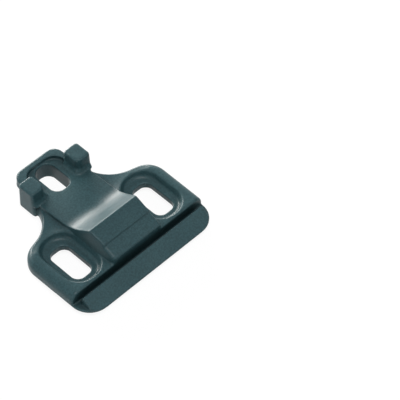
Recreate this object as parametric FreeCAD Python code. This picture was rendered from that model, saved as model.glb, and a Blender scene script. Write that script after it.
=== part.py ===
import FreeCAD, Part
import math
import os

os.makedirs("parts", exist_ok=True)
V = FreeCAD.Vector

# One moulded road bike cleat, pedal side up, shoe side flat on Z = 0.
# X is the width and +Y the nose. Sizes are in mm. Every Y below is measured
# from the middle of the two rear slots and the finished body is moved so that
# the middle of its footprint stands on the origin.

# Outline of the moulding in plan.
rear_half = 32.6
shoulder_half = 32.9
rear_y = -22.3
shoulder_y = 13.0
waist_y = 18.3
waist_half = 14.2
nose_half = 10.5
nose_y = 42.2
rear_corner_r = 8.6
shoulder_r = 8.7
waist_r = 14.5
nose_corner_r = 4.0

# Heights.
pad_step = 0.7
flange_top = 7.6
flange_round = 3.3
under_round = 1.3
nose_top = 9.0
nose_round = 0.7
neck_top = 6.5
neck_dip_y = 10.0
neck_dip_len = 8.0

# Shoe face, set in from the outline.
pad_side_inset = 4.8
pad_shoulder_inset = 3.2
pad_neck_inset = 1.8
pad_nose_inset = 1.8
pad_edge = 0.3
nose_relief_z = 4.6
nose_relief_gap = 1.6

# Rear lip and its groove.
lip_side_gap = 2.8
lip_half = rear_half - lip_side_gap
lip_y = -16.3
lip_top = 7.0
lip_tip_z = 2.6
lip_wall = 0.9
lip_bevel = 1.1
lip_crest_drop = 0.55
lip_crest_w = 1.5
groove_w = 2.8
groove_floor = 2.9
groove_round = 0.8

# Block, ridge and saddle.
block_half = 11.7
block_rear_y = lip_y + groove_w
block_rear_z = 10.3
block_corner_r = 1.6
block_edge_r = 1.0
ridge_r = 0.3
step_y = -8.0
step_z = 13.2
step_drop = 1.0
tier_inset = 1.3
ridge_y = -0.7
ridge_z = 15.2
ramp_foot_y = 13.0
ramp_foot_z = 8.3
saddle_end_y = 29.5
saddle_end_z = 7.4

# Rear slots and the pockets they stand in.
slot_x = 20.6
slot_r = 3.3
slot_flat = 2.0
slot_w = 2.0 * slot_r + slot_flat
slot_len = 16.4
web_low = 1.9
web_high = 4.7
pocket_x = 20.35
pocket_y = 0.5
pocket_r = 7.6
pocket_flat = 0.8
pocket_w = 2.0 * pocket_r + pocket_flat
pocket_len = 25.4
pocket_draft = 1.3
pocket_bowl_r = 1.9
rim_round = 0.35
pocket_in = pocket_x - pocket_w / 2.0

# Toothed ovals round the rear slots on the shoe side.
oval_r = 5.6
oval_flat = 1.4
oval_w = 2.0 * oval_r + oval_flat
oval_len = 20.6
tooth_count = 14
tooth_w = 1.0
tooth_out = 0.85
pin_r = 0.8
pin_depth = 0.25
pin_edge = 2.6
pin_front_y = 6.0

# Nose slot with its sunk floor.
nose_slot_y = 31.9
nose_slot_r = 3.6
nose_slot_flat = 1.2
nose_slot_w = 2.0 * nose_slot_r + nose_slot_flat
nose_slot_len = 14.2
recess_half = 8.3
recess_front_y = 39.6
recess_r = 5.0
nose_floor_z = saddle_end_z

# Horns.
horn_in = 7.7
horn_out = 14.9
horn_front_y = 34.6
horn_rear_y = 26.3
horn_top = 13.8
horn_low = 1.9
horn_taper = 0.3
horn_flare = 0.6
horn_corner_r = 1.2
horn_inner_r = 2.2
horn_round = 0.8
horn_foot = 1.5
horn_foot_h = 2.4

# Hollow under the saddle.
wall = 2.4
hollow_half = 9.6
hollow_rear_y = -8.2
cross_rib_y = 7.5
rib_w = 0.95
rib_count = 3
rib_drop = 0.35
rib_pitch = 2.0 * hollow_half / (rib_count + 1)
wing_x = 15.8
wing_y = 13.0
wing_wall = 2.0
hollow_front_y = 34.0
hollow_front_half = 10.2
island_half = 7.0
island_len = nose_slot_len + 7.4


def rounded(points, z):
    # Closed wire through corner points (x, y, radius) at height z.
    n = len(points)
    starts = []
    edges = []
    for i in range(n):
        x, y, r = points[i]
        p = V(x, y, z)
        a = V(points[i - 1][0], points[i - 1][1], z)
        b = V(points[(i + 1) % n][0], points[(i + 1) % n][1], z)
        da = (a - p).normalize()
        db = (b - p).normalize()
        if r <= 0:
            starts.append((p, None, p))
            continue
        ang = math.acos(max(-1.0, min(1.0, da.dot(db)))) / 2.0
        cut = r / math.tan(ang)
        mid = (da + db).normalize()
        centre = p + mid * (r / math.sin(ang))
        starts.append((p + da * cut, centre - mid * r, p + db * cut))
    for i in range(n):
        s, m, e = starts[i]
        if m is not None:
            edges.append(Part.Arc(s, m, e).toShape())
        nxt = starts[(i + 1) % n][0]
        if e.distanceToPoint(nxt) > 1e-6:
            edges.append(Part.LineSegment(e, nxt).toShape())
    return Part.Wire(edges)


def slab(points, z0, z1):
    return Part.Face(rounded(points, z0)).extrude(V(0, 0, z1 - z0))


def mirror_list(half):
    # Half outline on the +X side, from rear to nose, closed by its mirror image.
    left = [(-x, y, r) for (x, y, r) in reversed(half)]
    return half + left


def oval(cx, cy, w, length, r):
    hw = w / 2.0
    hl = length / 2.0
    return [(cx - hw, cy - hl, r), (cx + hw, cy - hl, r),
            (cx + hw, cy + hl, r), (cx - hw, cy + hl, r)]


def tapered(points_low, z0, points_high, z1):
    return Part.makeLoft([rounded(points_low, z0), rounded(points_high, z1)], True, True)


def profile_x(points, half):
    # Profile in the YZ plane carried across the width, centred on X = 0.
    pts = [V(-half, y, z) for (y, z) in points]
    return Part.Face(Part.makePolygon(pts + [pts[0]])).extrude(V(2.0 * half, 0, 0))


def wedge(top_half, top_z, low_half, low_z, y0, y1):
    # Bar along Y whose sides lean out from the top half width to the low one.
    pts = [V(-top_half, y0, top_z), V(top_half, y0, top_z),
           V(low_half, y0, low_z), V(-low_half, y0, low_z)]
    return Part.Face(Part.makePolygon(pts + [pts[0]])).extrude(V(0, y1 - y0, 0))


def box(x0, x1, y0, y1, z0, z1):
    return Part.makeBox(x1 - x0, y1 - y0, z1 - z0, V(x0, y0, z0))


def both(shape):
    return shape.fuse(shape.mirror(V(0, 0, 0), V(1, 0, 0)))


def pick(shape, test):
    return [e for e in shape.Edges if test(e)]


def soften(shape, radius, edges):
    return shape.makeFillet(radius, edges)


def bevel(shape, size, edges):
    return shape.makeChamfer(size, edges)


def side_level(e, z):
    return abs(e.BoundBox.ZMin - z) < 1e-4 and abs(e.BoundBox.ZMax - z) < 1e-4


# Flange with shoulders and neck.
outline = mirror_list([
    (rear_half, rear_y, rear_corner_r),
    (shoulder_half, shoulder_y, shoulder_r),
    (waist_half, waist_y, waist_r),
    (nose_half, nose_y, nose_corner_r)])
plate = slab(outline, pad_step, flange_top)
plate = soften(plate, flange_round, pick(plate, lambda e: side_level(e, flange_top)))
plate = bevel(plate, under_round, pick(plate, lambda e: side_level(e, pad_step)))

# Pockets round the rear slots: drafted walls that run into the floor in a bowl.
pocket = tapered(
    oval(pocket_x, pocket_y, pocket_w - 2 * pocket_draft, pocket_len - 2 * pocket_draft,
         pocket_r - pocket_draft), web_high,
    oval(pocket_x, pocket_y, pocket_w, pocket_len, pocket_r), flange_top)
pocket = soften(pocket, pocket_bowl_r, pick(pocket, lambda e: side_level(e, web_high)))
plate = plate.cut(both(pocket))
plate = bevel(plate, rim_round, pick(plate, lambda e: (
    side_level(e, flange_top) and abs(abs(e.CenterOfMass.x) - pocket_x) < pocket_w / 2.0 + 0.1
    and abs(e.CenterOfMass.y - pocket_y) < pocket_len / 2.0 + 0.1 and e.BoundBox.XLength < pocket_w)))

# The neck lies lower than the flange; the flange runs down to it in a hollow sweep.
dip = flange_top - neck_top
dip_end_y = neck_dip_y + neck_dip_len
sweep_r = (neck_dip_len ** 2 + dip ** 2) / (2.0 * dip)
sweep_mid = neck_top + sweep_r - math.sqrt(sweep_r ** 2 - (neck_dip_len / 2.0) ** 2)
side = shoulder_half + 2.0
neck = [V(-side, neck_dip_y, flange_top), V(-side, dip_end_y, neck_top),
        V(-side, nose_y + 2.0, neck_top), V(-side, nose_y + 2.0, flange_top + 2.0),
        V(-side, neck_dip_y, flange_top + 2.0)]
sweep = Part.Arc(neck[0], V(-side, neck_dip_y + neck_dip_len / 2.0, sweep_mid), neck[1])
neck_edges = [sweep.toShape()]
for i in range(1, 5):
    neck_edges.append(Part.LineSegment(neck[i], neck[(i + 1) % 5]).toShape())
plate = plate.cut(Part.Face(Part.Wire(neck_edges)).extrude(V(2.0 * side, 0, 0)))

# Nose plate, higher than the neck, with its floor sunk and open towards the saddle.
nose_start_y = horn_rear_y + horn_corner_r
nose = slab(mirror_list([
    (nose_half + (horn_out - nose_half) * 0.2, nose_start_y, 0),
    (nose_half, nose_y, nose_corner_r)]), pad_step, nose_top)
nose = bevel(nose, nose_round, pick(nose, lambda e: side_level(e, nose_top)))
body = plate.fuse(nose)
sunk = slab(mirror_list([
    (recess_half, nose_start_y - 1.0, 0),
    (recess_half, recess_front_y, recess_r)]), nose_floor_z, nose_top + 6.0)
body = body.cut(sunk)

# Lower pad: the shoe face proper, set in from the sides.
pad = slab(mirror_list([
    (rear_half - pad_side_inset, lip_y, rear_corner_r - 3.0),
    (shoulder_half - pad_side_inset, shoulder_y - pad_shoulder_inset, shoulder_r - 3.0),
    (waist_half - pad_neck_inset, waist_y - pad_neck_inset, waist_r - 1.0),
    (nose_half - pad_nose_inset, nose_y - pad_nose_inset, nose_corner_r - 1.4)]), 0.0, pad_step + 2.0)
pad = bevel(pad, pad_edge, pick(pad, lambda e: side_level(e, 0.0)))

# Rear beak: the step-in ramp, the groove and the lip behind it.
lip_slope = (lip_top - lip_tip_z) / (lip_y - rear_y)


def ramp_z(y):
    return lip_top - lip_slope * (lip_y - y)


beak = profile_x([
    (lip_y, lip_top), (rear_y - 1.0, ramp_z(rear_y - 1.0)),
    (rear_y - 1.0, flange_top + 6.0), (lip_y, flange_top + 6.0)], rear_half + 2.0)
groove = box(-rear_half - 2, rear_half + 2, lip_y, block_rear_y, groove_floor, ridge_z)
ends = box(lip_half, rear_half + 2, rear_y - 2, block_rear_y, groove_floor, ridge_z)
body = body.cut(beak).cut(groove).cut(both(ends))
body = soften(body, groove_round, pick(body, lambda e: (
    side_level(e, flange_top) and abs(e.BoundBox.YMin - block_rear_y) < 1e-3
    and abs(e.BoundBox.YMax - block_rear_y) < 1e-3)))
lip_back = lip_y + lip_wall
lip = profile_x([
    (lip_back, groove_floor - 1.0), (lip_y - 3.0, groove_floor - 1.0),
    (lip_y - 3.0, ramp_z(lip_y - 3.0)), (lip_y, lip_top), (lip_back, lip_top)], lip_half)
# The crest is bevelled towards the groove, and lies lower behind the block.
bevel_y = lip_y - 0.3 * lip_bevel
lip = lip.cut(profile_x([
    (bevel_y, ramp_z(bevel_y)), (lip_back + 0.1, lip_top - lip_bevel),
    (lip_back + 0.1, lip_top + 1.0), (bevel_y, lip_top + 1.0)], lip_half + 1.0))
crest_y = lip_y - lip_crest_w
lip = lip.cut(profile_x([
    (crest_y, ramp_z(crest_y)), (lip_y, lip_top - lip_crest_drop),
    (lip_back + 0.1, lip_top - lip_crest_drop - lip_bevel),
    (lip_back + 0.1, lip_top + 1.0), (crest_y, lip_top + 1.0)], block_half + 1.0))
body = body.fuse(lip)

# Raised block, ridge and saddle as one profile.
span = ramp_foot_y - ridge_y
rise = ridge_z - ramp_foot_z
half_w = pocket_in + 4.0
base_z = 1.0
ridge = V(-half_w, ridge_y, ridge_z)
foot = V(-half_w, ramp_foot_y, ramp_foot_z)
ramp = Part.BSplineCurve()
ramp.interpolate([ridge, V(-half_w, ridge_y + 0.25 * span, ridge_z - 0.36 * rise),
                  V(-half_w, ridge_y + 0.52 * span, ridge_z - 0.71 * rise),
                  V(-half_w, ridge_y + 0.78 * span, ridge_z - 0.93 * rise), foot])
corners = [foot, V(-half_w, saddle_end_y, saddle_end_z), V(-half_w, saddle_end_y, base_z),
           V(-half_w, block_rear_y, base_z), V(-half_w, block_rear_y, block_rear_z),
           V(-half_w, step_y, step_z - step_drop), V(-half_w, step_y, step_z), ridge]
edges = [ramp.toShape()]
for i in range(7):
    edges.append(Part.LineSegment(corners[i], corners[i + 1]).toShape())
hump = Part.Face(Part.Wire(edges)).extrude(V(2.0 * half_w, 0, 0))

# Its flanks lean out to the pockets; behind the ridge the top narrows to the rear.
lean = (pocket_in - block_half) / (ridge_z - flange_top)
low_half = block_half + lean * (ridge_z - base_z)
rear_top = block_half - tier_inset
rear_lean = (pocket_in - rear_top) / (ridge_z - flange_top)
rear_low = rear_top + rear_lean * (ridge_z - base_z)
front_keep = wedge(block_half, ridge_z, low_half, base_z, ridge_y, nose_y)
rear_keep = tapered([(-rear_low, block_rear_y, 0), (rear_low, block_rear_y, 0),
                     (low_half, ridge_y, 0), (-low_half, ridge_y, 0)], base_z,
                    [(-rear_top, block_rear_y, 0), (rear_top, block_rear_y, 0),
                     (block_half, ridge_y, 0), (-block_half, ridge_y, 0)], ridge_z)
hump = hump.common(front_keep.fuse(rear_keep))
hump = soften(hump, block_corner_r, pick(hump, lambda e: (
    abs(e.BoundBox.YMin - block_rear_y) < 1e-3 and abs(e.BoundBox.YMax - block_rear_y) < 1e-3
    and e.BoundBox.ZLength > 3.0)))


def across(e, y, z):
    b = e.BoundBox
    return b.XLength > 0.7 * block_half and abs(b.YMin - y) < 0.02 and abs(b.ZMin - z) < 0.02 and b.YLength < 0.02


hump = soften(hump, block_edge_r, pick(hump, lambda e: across(e, block_rear_y, block_rear_z)))
hump = soften(hump, ridge_r, pick(hump, lambda e: (
    across(e, ridge_y, ridge_z) or across(e, step_y, step_z))))
body = body.fuse(hump)


# Horns: tapered, standing out over the side of the neck, spread at the foot.
def horn_plan(grow_in, grow_rear, grow_out, grow_front, r_in):
    return [(horn_in - grow_in, horn_rear_y - grow_rear, r_in),
            (horn_out + grow_out, horn_rear_y - grow_rear, horn_corner_r),
            (horn_out + grow_out, horn_front_y + grow_front, horn_corner_r),
            (horn_in - grow_in, horn_front_y + grow_front, horn_corner_r)]


horn = tapered(horn_plan(0.2, horn_flare, -0.4, 0.2, horn_inner_r), horn_low,
               horn_plan(-horn_taper, -horn_taper, -horn_taper, -horn_taper, horn_inner_r), horn_top)
horn = soften(horn, horn_round, pick(horn, lambda e: side_level(e, horn_top)))
foot_z = saddle_end_z - 0.3
foot_low = tapered(horn_plan(horn_foot, horn_foot, -0.6, -0.4, horn_inner_r), foot_z,
                   horn_plan(0.4 * horn_foot, 0.5 * horn_foot, -0.6, -0.4, horn_inner_r),
                   foot_z + 0.4 * horn_foot_h)
foot_high = tapered(horn_plan(0.4 * horn_foot, 0.5 * horn_foot, -0.6, -0.4, horn_inner_r),
                    foot_z + 0.4 * horn_foot_h,
                    horn_plan(-0.1, 0.0, -0.6, -0.4, horn_inner_r), foot_z + horn_foot_h)
horn = horn.fuse(foot_low).fuse(foot_high)
body = body.fuse(both(horn))
body = body.fuse(pad)

# Slots for the three bolts.
slot = slab(oval(slot_x, 0.0, slot_w, slot_len, slot_r), -1.0, flange_top + 4.0)
body = body.cut(both(slot))
nose_slot = slab(oval(0.0, nose_slot_y, nose_slot_w, nose_slot_len, nose_slot_r), -1.0, nose_top + 4.0)

# The tip and the corners of the nose are relieved from the shoe side.
relief = box(island_half, nose_half + 2.0, hollow_front_y + nose_relief_gap, nose_y + 1.0,
             -1.0, nose_relief_z)
body = body.cut(both(relief))
body = body.cut(box(-nose_half - 2.0, nose_half + 2.0, nose_y - pad_nose_inset, nose_y + 1.0,
                    -1.0, nose_relief_z))

# Hollow under the saddle with its ribs.
roof = profile_x([
    (hollow_rear_y, -1.0), (hollow_rear_y, block_rear_z - wall),
    (step_y + wall, step_z - wall - 0.8), (ridge_y, ridge_z - wall - 0.8),
    (ridge_y + 0.25 * span, ridge_z - 0.36 * rise - wall - 0.9),
    (ridge_y + 0.52 * span, ridge_z - 0.71 * rise - wall - 0.3),
    (ramp_foot_y, ramp_foot_z - wall), (saddle_end_y, saddle_end_z - wall),
    (hollow_front_y, saddle_end_z - wall), (hollow_front_y, -1.0)], wing_x + 2.0)
plan = slab(mirror_list([
    (hollow_half, hollow_rear_y, 0.4),
    (hollow_half, cross_rib_y, 0.4),
    (wing_x, wing_y, 0.8),
    (hollow_front_half, waist_y + 3.4, 3.0),
    (hollow_front_half, hollow_front_y, 1.5)]), -1.0, ridge_z)
hollow = roof.common(plan)
island = slab(oval(0.0, nose_slot_y, 2 * island_half, island_len, island_half - 0.1), -1.0, ridge_z)
side_blocks = both(box(hollow_half, wing_x + 2, cross_rib_y - 3, hollow_front_y + 2,
                       neck_top - wing_wall, ridge_z))
hollow = hollow.cut(side_blocks)
hollow = hollow.cut(island)
ribs = []
for i in range(rib_count):
    x = -hollow_half + (i + 1) * rib_pitch
    ribs.append(box(x - rib_w / 2, x + rib_w / 2, hollow_rear_y - 0.5, hollow_front_y, rib_drop, ridge_z))
ribs.append(box(-hollow_half - 0.5, hollow_half + 0.5, cross_rib_y - rib_w / 2, cross_rib_y + rib_w / 2,
                rib_drop, ridge_z))
for s in (-1.0, 1.0):
    x = s * (hollow_half + rib_w / 2.0)
    ribs.append(box(x - rib_w / 2, x + rib_w / 2, cross_rib_y - 0.5, hollow_front_y,
                    rib_drop, ridge_z))
comb = ribs[0]
for r in ribs[1:]:
    comb = comb.fuse(r)
hollow = hollow.cut(comb)
body = body.cut(hollow)
body = body.cut(nose_slot)

# Toothed ovals on the shoe side.
well = tapered(oval(slot_x, 0.0, oval_w + 0.8, oval_len + 0.8, oval_r + 0.4), -0.5,
               oval(slot_x, 0.0, oval_w - 1.0, oval_len - 1.0, oval_r - 0.5), web_low)
ring_path = rounded(oval(slot_x, 0.0, oval_w, oval_len, oval_r), 0.0)
path_pts = ring_path.discretize(Number=tooth_count + 1)[:-1]
for q in path_pts:
    out = V(q.x - slot_x, q.y * 0.75, 0).normalize()
    ang = math.degrees(math.atan2(out.y, out.x))
    tooth = Part.Face(Part.makePolygon([
        V(0.6, -tooth_w / 2, 0), V(0.6, tooth_w / 2, 0), V(-tooth_out, 0, 0), V(0.6, -tooth_w / 2, 0)]))
    tooth = tooth.extrude(V(0, 0, web_low + 0.2))
    tooth.rotate(V(0, 0, 0), V(0, 0, 1), ang)
    tooth.translate(V(q.x, q.y, 0.15))
    well = well.cut(tooth)
body = body.cut(both(well))

# Shallow round marks of the ejector pins.
marks = Part.makeCylinder(pin_r, 1.0 + pin_depth, V(rear_half - pin_edge, pin_front_y, pad_step - 1.0))
marks = marks.fuse(Part.makeCylinder(pin_r, 1.0 + pin_depth, V(slot_x - oval_w / 2.0, -oval_len / 2.0, -1.0)))
body = body.cut(both(marks))

body = body.removeSplitter()
print("valid", body.isValid(), "solids", len(body.Solids), "volume", body.Volume)
body.translate(V(0, -(rear_y + nose_y) / 2.0, 0))
bb = body.BoundBox
print("box", bb.XMin, bb.XMax, bb.YMin, bb.YMax, bb.ZMin, bb.ZMax)
if len(body.Solids) == 1:
    body = body.Solids[0]
body.exportStep("parts/cleat_body.step")
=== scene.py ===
import math

import bpy
from mathutils import Matrix, Vector


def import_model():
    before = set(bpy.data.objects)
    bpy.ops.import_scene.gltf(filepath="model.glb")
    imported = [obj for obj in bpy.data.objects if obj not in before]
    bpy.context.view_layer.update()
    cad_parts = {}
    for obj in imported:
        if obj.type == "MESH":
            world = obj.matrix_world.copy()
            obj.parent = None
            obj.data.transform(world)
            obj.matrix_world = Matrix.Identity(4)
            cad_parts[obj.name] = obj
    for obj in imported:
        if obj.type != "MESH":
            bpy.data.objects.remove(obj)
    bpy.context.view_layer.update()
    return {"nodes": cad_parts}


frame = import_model()
body = frame["nodes"]["cleat_body"]

MM = 0.001
WHITE = (1.0, 1.0, 1.0, 1.0)
UP = Vector((0.0, 0.0, 1.0))

# Camera: set to the angle and distance at which the photograph was taken.
AZIMUTH = math.radians(-45.1)
ELEVATION = math.radians(51.04)
DISTANCE = 803.2 * MM
LENS = 198.0
SENSOR = 36.0
SIDE_OFFSET = -31.88 * MM
UP_OFFSET = -13.87 * MM
SLOT_LINE_Y = -9.95 * MM

# Skin of the moulding: a voxel remesh, smoothed and thinned.
VOXEL = 0.25 * MM
SMOOTH_SHARE = 0.5
SMOOTH_STEPS = 8
FACE_SHARE = 0.4

# Plastic. The noise scales are per metre.
TONES = [(0.30, (0.025, 0.063, 0.072, 1)), (0.52, (0.028, 0.069, 0.079, 1)),
         (0.72, (0.032, 0.075, 0.084, 1))]
PALE_EDGE_TONE = (0.10, 0.16, 0.17, 1)
EDGE_PALING = 0.55
SHINE = 0.2  # below a real nylon's 0.5, or the white room makes the part too pale
DRIFT_SCALE = 55.0
RIPPLE_SCALE = 170.0
FIBRE_SCALE = 1400.0
GRAIN_SCALE = 2600.0
GRAIN_SHARE = 0.25
BUMP_STRENGTH = 0.35
BUMP_DEPTH = 0.12 * MM
HOLLOW_REACH = 6.0 * MM
HOLLOW_SAMPLES = 12

# Floor and room. What looks at them sees white, and the part gets less light from them.
FLOOR_HALF = 1.5
FLOOR_SHADE = (0.86, 0.86, 0.86, 1)
FLOOR_GLOW = 1.06
GLOW_SHARE = 0.85
ROOM_LIGHT = 0.22

# Lamps: name, direction, distance, width, height, power, tint.
LAMP_AIM = Vector((0.0, 0.0, 5.0 * MM))
LAMPS = [
    ("back_box", (0.24, 0.93, 0.19), 0.8, 0.85, 0.11, 12.0, (1.0, 0.985, 0.95)),
    ("top_box", (-0.10, -0.25, 0.96), 0.9, 0.4, 0.4, 4.0, (1.0, 1.0, 1.0)),
    ("front_box", (0.25, -0.80, 0.55), 1.0, 0.6, 0.4, 0.9, (0.92, 0.98, 1.0)),
    ("side_box", (-0.90, -0.10, 0.35), 1.0, 0.5, 0.4, 1.2, (1.0, 1.0, 1.0)),
]


def place(name, data, axes, where):
    """Add an object whose own X, Y and Z point along the three axes."""
    obj = bpy.data.objects.new(name, data)
    bpy.context.scene.collection.objects.link(obj)
    m = Matrix(axes).transposed().to_4x4()
    m.translation = where
    obj.matrix_world = m
    return obj


def make_camera():
    back = Vector((math.sin(AZIMUTH) * math.cos(ELEVATION),
                   -math.cos(AZIMUTH) * math.cos(ELEVATION), math.sin(ELEVATION)))
    right = Vector((math.cos(AZIMUTH), math.sin(AZIMUTH), 0.0))
    up = back.cross(right)
    data = bpy.data.cameras.new("camera")
    data.sensor_width = SENSOR
    data.lens = LENS
    data.clip_start = 0.05
    data.clip_end = 20.0
    where = (Vector((0.0, SLOT_LINE_Y, 0.0)) + back * DISTANCE
             - right * SIDE_OFFSET - up * UP_OFFSET)
    bpy.context.scene.camera = place("camera", data, (right, up, back), where)


def node(tree, kind, **inputs):
    n = tree.nodes.new(kind)
    for key, value in inputs.items():
        n.inputs[key].default_value = value
    return n


def maths(tree, operation, *terms):
    """A maths node's result. Each term is a number or another node's output."""
    n = tree.nodes.new("ShaderNodeMath")
    n.operation = operation
    for socket, term in zip(n.inputs, terms):
        if isinstance(term, (int, float)):
            socket.default_value = term
        else:
            tree.links.new(term, socket)
    return n.outputs[0]


def noise(tree, coord, scale, detail, roughness):
    n = node(tree, "ShaderNodeTexNoise", Scale=scale, Detail=detail, Roughness=roughness)
    tree.links.new(coord, n.inputs["Vector"])
    return n.outputs["Fac"]


def ramp(tree, factor, stops):
    n = tree.nodes.new("ShaderNodeValToRGB")
    steps = n.color_ramp.elements
    while len(steps) < len(stops):
        steps.new(0.5)
    for step, (position, value) in zip(steps, stops):
        step.position = position
        step.color = value if isinstance(value, tuple) else (value, value, value, 1.0)
    tree.links.new(factor, n.inputs["Fac"])
    return n.outputs["Color"]


def colour_mix(tree, blend, first):
    n = tree.nodes.new("ShaderNodeMix")
    n.data_type = "RGBA"
    n.blend_type = blend
    tree.links.new(first, n.inputs["A"])
    return n


def times(tree, first, second):
    n = colour_mix(tree, "MULTIPLY", first)
    n.inputs["Factor"].default_value = 1.0
    tree.links.new(second, n.inputs["B"])
    return n.outputs["Result"]


def plastic():
    mat = bpy.data.materials.new("moulded_nylon")
    mat.use_nodes = True
    t = mat.node_tree
    bsdf = t.nodes["Principled BSDF"]
    coord = t.nodes.new("ShaderNodeTexCoord").outputs["Object"]

    # Slow drift of colour across the moulding, and the fine speckle of its fibres.
    fibres = noise(t, coord, FIBRE_SCALE, 4.0, 0.6)
    colour = ramp(t, noise(t, coord, DRIFT_SCALE, 3.0, 0.5), TONES)
    colour = times(t, colour, ramp(t, fibres, [(0.35, 0.82), (0.65, 1.18)]))

    # Hollows and creases are darkened, to come nearer to the picture's shading.
    # The picture shows no dirt there.
    hollow = node(t, "ShaderNodeAmbientOcclusion", Distance=HOLLOW_REACH)
    hollow.only_local = True
    hollow.samples = HOLLOW_SAMPLES
    colour = times(t, colour, ramp(t, hollow.outputs["AO"], [(0.40, 0.36), (0.92, 1.0)]))
    sharp = t.nodes.new("ShaderNodeNewGeometry").outputs["Pointiness"]
    colour = times(t, colour, ramp(t, sharp, [(0.43, 0.35), (0.495, 1.0)]))

    # Sharp convex edges are made paler in the colour itself.
    paler_edge = colour_mix(t, "MIX", colour)
    paler_edge.inputs["B"].default_value = PALE_EDGE_TONE
    edge = ramp(t, sharp, [(0.52, 0.0), (0.62, 1.0)])
    t.links.new(maths(t, "MULTIPLY", edge, EDGE_PALING), paler_edge.inputs["Factor"])
    t.links.new(paler_edge.outputs["Result"], bsdf.inputs["Base Color"])

    rough = ramp(t, fibres, [(0.3, 0.31), (0.7, 0.41)])
    t.links.new(rough, bsdf.inputs["Roughness"])
    bsdf.inputs["Specular IOR Level"].default_value = SHINE

    grain = noise(t, coord, GRAIN_SCALE, 3.0, 0.6)
    ripple = noise(t, coord, RIPPLE_SCALE, 2.0, 0.5)
    bump = node(t, "ShaderNodeBump", Strength=BUMP_STRENGTH, Distance=BUMP_DEPTH)
    t.links.new(maths(t, "MULTIPLY_ADD", grain, GRAIN_SHARE, ripple), bump.inputs["Height"])
    t.links.new(bump.outputs["Normal"], bsdf.inputs["Normal"])
    return mat


def dress_body():
    body.data.materials.clear()
    body.data.materials.append(plastic())
    skin = body.modifiers.new("soft_mould", "REMESH")
    skin.mode = "VOXEL"
    skin.voxel_size = VOXEL
    skin.use_smooth_shade = True
    rounding = body.modifiers.new("round_edges", "SMOOTH")
    rounding.factor = SMOOTH_SHARE
    rounding.iterations = SMOOTH_STEPS
    body.modifiers.new("thin_out", "DECIMATE").ratio = FACE_SHARE


def looked_at(tree):
    """1 where a ray comes straight from the camera, a mirror or a glass, else 0."""
    path = tree.nodes.new("ShaderNodeLightPath").outputs
    total = maths(tree, "MAXIMUM", path["Is Camera Ray"], path["Is Glossy Ray"])
    return maths(tree, "MAXIMUM", total, path["Is Transmission Ray"])


def floor():
    s = FLOOR_HALF
    mesh = bpy.data.meshes.new("floor")
    mesh.from_pydata([(-s, -s, 0), (s, -s, 0), (s, s, 0), (-s, s, 0)], [], [(0, 1, 2, 3)])
    obj = bpy.data.objects.new("floor", mesh)
    bpy.context.scene.collection.objects.link(obj)
    mat = bpy.data.materials.new("floor_white")
    mat.use_nodes = True
    t = mat.node_tree
    t.nodes.remove(t.nodes["Principled BSDF"])
    shade = node(t, "ShaderNodeBsdfDiffuse", Color=FLOOR_SHADE)
    glow = node(t, "ShaderNodeEmission", Color=WHITE, Strength=FLOOR_GLOW)
    mix = t.nodes.new("ShaderNodeMixShader")
    t.links.new(maths(t, "MULTIPLY", looked_at(t), GLOW_SHARE), mix.inputs["Fac"])
    t.links.new(shade.outputs[0], mix.inputs[1])
    t.links.new(glow.outputs[0], mix.inputs[2])
    t.links.new(mix.outputs[0], t.nodes["Material Output"].inputs["Surface"])
    mesh.materials.append(mat)


def world():
    studio = bpy.data.worlds.new("studio")
    bpy.context.scene.world = studio
    studio.use_nodes = True
    t = studio.node_tree
    sky = t.nodes["Background"]
    sky.inputs["Color"].default_value = WHITE
    seen = maths(t, "MULTIPLY_ADD", looked_at(t), 1.0 - ROOM_LIGHT, ROOM_LIGHT)
    t.links.new(seen, sky.inputs["Strength"])


def lamp(name, direction, distance, width, height, power, tint):
    data = bpy.data.lights.new(name, "AREA")
    data.shape = "RECTANGLE"
    data.size = width
    data.size_y = height
    data.energy = power
    data.color = tint
    back = Vector(direction).normalized()
    across = UP.cross(back).normalized()
    place(name, data, (across, back.cross(across), back), LAMP_AIM + back * distance)


bpy.context.scene.view_settings.view_transform = "Standard"
make_camera()
dress_body()
floor()
world()
for row in LAMPS:
    lamp(*row)
